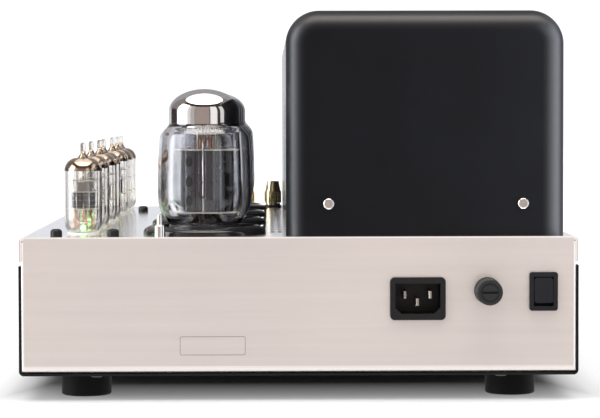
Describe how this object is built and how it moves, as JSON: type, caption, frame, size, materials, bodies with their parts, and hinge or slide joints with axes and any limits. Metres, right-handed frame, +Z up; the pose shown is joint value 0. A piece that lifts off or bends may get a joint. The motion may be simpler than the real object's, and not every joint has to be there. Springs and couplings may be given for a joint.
{
  "type": "tube power amplifier",
  "caption": "Low steel chassis with a row of black transformer covers, large glass power tubes in black rings, small signal tubes, and mains inlet, fuse and rocker on its end.",
  "frame": {"origin": "on the ground, at the middle of the whole outline", "axes": "+Z up, +Y along the long side away from the mains end panel, +X towards the transformer covers"},
  "size_m": [0.3056, 0.4442, 0.2131],
  "materials": {
    "stainless": "satin polished sheet",
    "black_pan": "satin black paint",
    "black_cover": "satin black paint",
    "black_rubber": "satin",
    "screw_steel": "plated",
    "bright_chrome": "polished",
    "core_steel": "varnished laminations",
    "winding": "taped coil",
    "ceramic_white": "plain",
    "ring_black": "satin black",
    "lamp_green": "clear green",
    "board_green": "solder mask",
    "can_black": "sleeved can",
    "plastic_black": "moulded",
    "gloss_black": "moulded",
    "brass_plated": "plated blades",
    "gold": "gold plated",
    "tube_glass": "clear",
    "electrode_metal": "grey coated nickel",
    "base_black": "moulded base",
    "fuse_glass": "glass and end caps"
  },
  "bodies": {
    "chassis": {"chassis_shell": "stainless", "bottom_cover": "black_pan", "rubber_feet": "black_rubber", "case_screws": "screw_steel", "transformer_cover_near": "black_cover", "transformer_cover_middle": "black_cover", "transformer_cover_far": "black_cover", "chrome_screws": "bright_chrome", "transformer_cores": "core_steel", "transformer_windings": "winding", "transformer_fixings": "screw_steel", "power_tube_sockets": "ceramic_white", "power_tube_rings": "ring_black", "signal_tube_sockets": "ceramic_white", "socket_lamps": "lamp_green", "circuit_board": "board_green", "filter_capacitors": "can_black", "guard_plugs": "black_rubber", "guard_posts": "bright_chrome", "power_inlet": "plastic_black", "inlet_blades": "brass_plated", "fuse_holder": "plastic_black", "switch_frames": "plastic_black", "input_jacks": "gold", "terminal_studs": "gold", "terminal_insulators": "plastic_black"},
    "power_tube_1": {"power_tube_1_glass": "tube_glass", "power_tube_1_electrodes": "electrode_metal", "power_tube_1_base": "base_black"},
    "power_tube_2": {"power_tube_2_glass": "tube_glass", "power_tube_2_electrodes": "electrode_metal", "power_tube_2_base": "base_black"},
    "power_tube_3": {"power_tube_3_glass": "tube_glass", "power_tube_3_electrodes": "electrode_metal", "power_tube_3_base": "base_black"},
    "power_tube_4": {"power_tube_4_glass": "tube_glass", "power_tube_4_electrodes": "electrode_metal", "power_tube_4_base": "base_black"},
    "signal_tube_1": {"signal_tube_1_glass": "tube_glass", "signal_tube_1_electrodes": "electrode_metal"},
    "signal_tube_2": {"signal_tube_2_glass": "tube_glass", "signal_tube_2_electrodes": "electrode_metal"},
    "signal_tube_3": {"signal_tube_3_glass": "tube_glass", "signal_tube_3_electrodes": "electrode_metal"},
    "signal_tube_4": {"signal_tube_4_glass": "tube_glass", "signal_tube_4_electrodes": "electrode_metal"},
    "signal_tube_5": {"signal_tube_5_glass": "tube_glass", "signal_tube_5_electrodes": "electrode_metal"},
    "signal_tube_6": {"signal_tube_6_glass": "tube_glass", "signal_tube_6_electrodes": "electrode_metal"},
    "signal_tube_7": {"signal_tube_7_glass": "tube_glass", "signal_tube_7_electrodes": "electrode_metal"},
    "terminal_cap_1": {"terminal_cap_1": "gold"},
    "terminal_cap_2": {"terminal_cap_2": "gold"},
    "terminal_cap_3": {"terminal_cap_3": "gold"},
    "terminal_cap_4": {"terminal_cap_4": "gold"},
    "fuse_cartridge": {"fuse_cartridge": "fuse_glass"},
    "fuse_cap": {"fuse_cap": "plastic_black"},
    "auto_off_rocker": {"auto_off_rocker": "gloss_black"},
    "power_rocker": {"power_rocker": "gloss_black"}
  },
  "joints": [
    {"name": "power_tube_1_pull", "type": "slide", "parent": "chassis", "child": "power_tube_1", "axis": [0, 0, 1], "range_m": [0, 0.04]},
    {"name": "power_tube_2_pull", "type": "slide", "parent": "chassis", "child": "power_tube_2", "axis": [0, 0, 1], "range_m": [0, 0.04]},
    {"name": "power_tube_3_pull", "type": "slide", "parent": "chassis", "child": "power_tube_3", "axis": [0, 0, 1], "range_m": [0, 0.04]},
    {"name": "power_tube_4_pull", "type": "slide", "parent": "chassis", "child": "power_tube_4", "axis": [0, 0, 1], "range_m": [0, 0.04]},
    {"name": "signal_tube_1_pull", "type": "slide", "parent": "chassis", "child": "signal_tube_1", "axis": [0, 0, 1], "range_m": [0, 0.02]},
    {"name": "signal_tube_2_pull", "type": "slide", "parent": "chassis", "child": "signal_tube_2", "axis": [0, 0, 1], "range_m": [0, 0.02]},
    {"name": "signal_tube_3_pull", "type": "slide", "parent": "chassis", "child": "signal_tube_3", "axis": [0, 0, 1], "range_m": [0, 0.02]},
    {"name": "signal_tube_4_pull", "type": "slide", "parent": "chassis", "child": "signal_tube_4", "axis": [0, 0, 1], "range_m": [0, 0.02]},
    {"name": "signal_tube_5_pull", "type": "slide", "parent": "chassis", "child": "signal_tube_5", "axis": [0, 0, 1], "range_m": [0, 0.02]},
    {"name": "signal_tube_6_pull", "type": "slide", "parent": "chassis", "child": "signal_tube_6", "axis": [0, 0, 1], "range_m": [0, 0.02]},
    {"name": "signal_tube_7_pull", "type": "slide", "parent": "chassis", "child": "signal_tube_7", "axis": [0, 0, 1], "range_m": [0, 0.02]},
    {"name": "terminal_cap_1_turn", "type": "hinge", "parent": "chassis", "child": "terminal_cap_1", "pos_m": [-0.0136, 0.19065, 0.0894], "axis": [0, 0, 1], "continuous": true},
    {"name": "terminal_cap_2_turn", "type": "hinge", "parent": "chassis", "child": "terminal_cap_2", "pos_m": [-0.03265, 0.19065, 0.0894], "axis": [0, 0, 1], "continuous": true},
    {"name": "terminal_cap_3_turn", "type": "hinge", "parent": "chassis", "child": "terminal_cap_3", "pos_m": [-0.0517, 0.19065, 0.0894], "axis": [0, 0, 1], "continuous": true},
    {"name": "terminal_cap_4_turn", "type": "hinge", "parent": "chassis", "child": "terminal_cap_4", "pos_m": [-0.07075, 0.19065, 0.0894], "axis": [0, 0, 1], "continuous": true},
    {"name": "fuse_draw", "type": "slide", "parent": "chassis", "child": "fuse_cartridge", "axis": [0, -1, 0], "range_m": [0, 0.045]},
    {"name": "fuse_cap_turn", "type": "hinge", "parent": "fuse_cartridge", "child": "fuse_cap", "pos_m": [0.1029, -0.20635, 0.0598], "axis": [0, -1, 0], "range_deg": [0, 45]},
    {"name": "auto_off_rock", "type": "hinge", "parent": "chassis", "child": "auto_off_rocker", "pos_m": [0.1334, -0.20485, 0.0593], "axis": [1, 0, 0], "range_deg": [0, 18]},
    {"name": "power_rock", "type": "hinge", "parent": "chassis", "child": "power_rocker", "pos_m": [-0.12, 0.21115, 0.0593], "axis": [-1, 0, 0], "range_deg": [0, 18]}
  ]
}
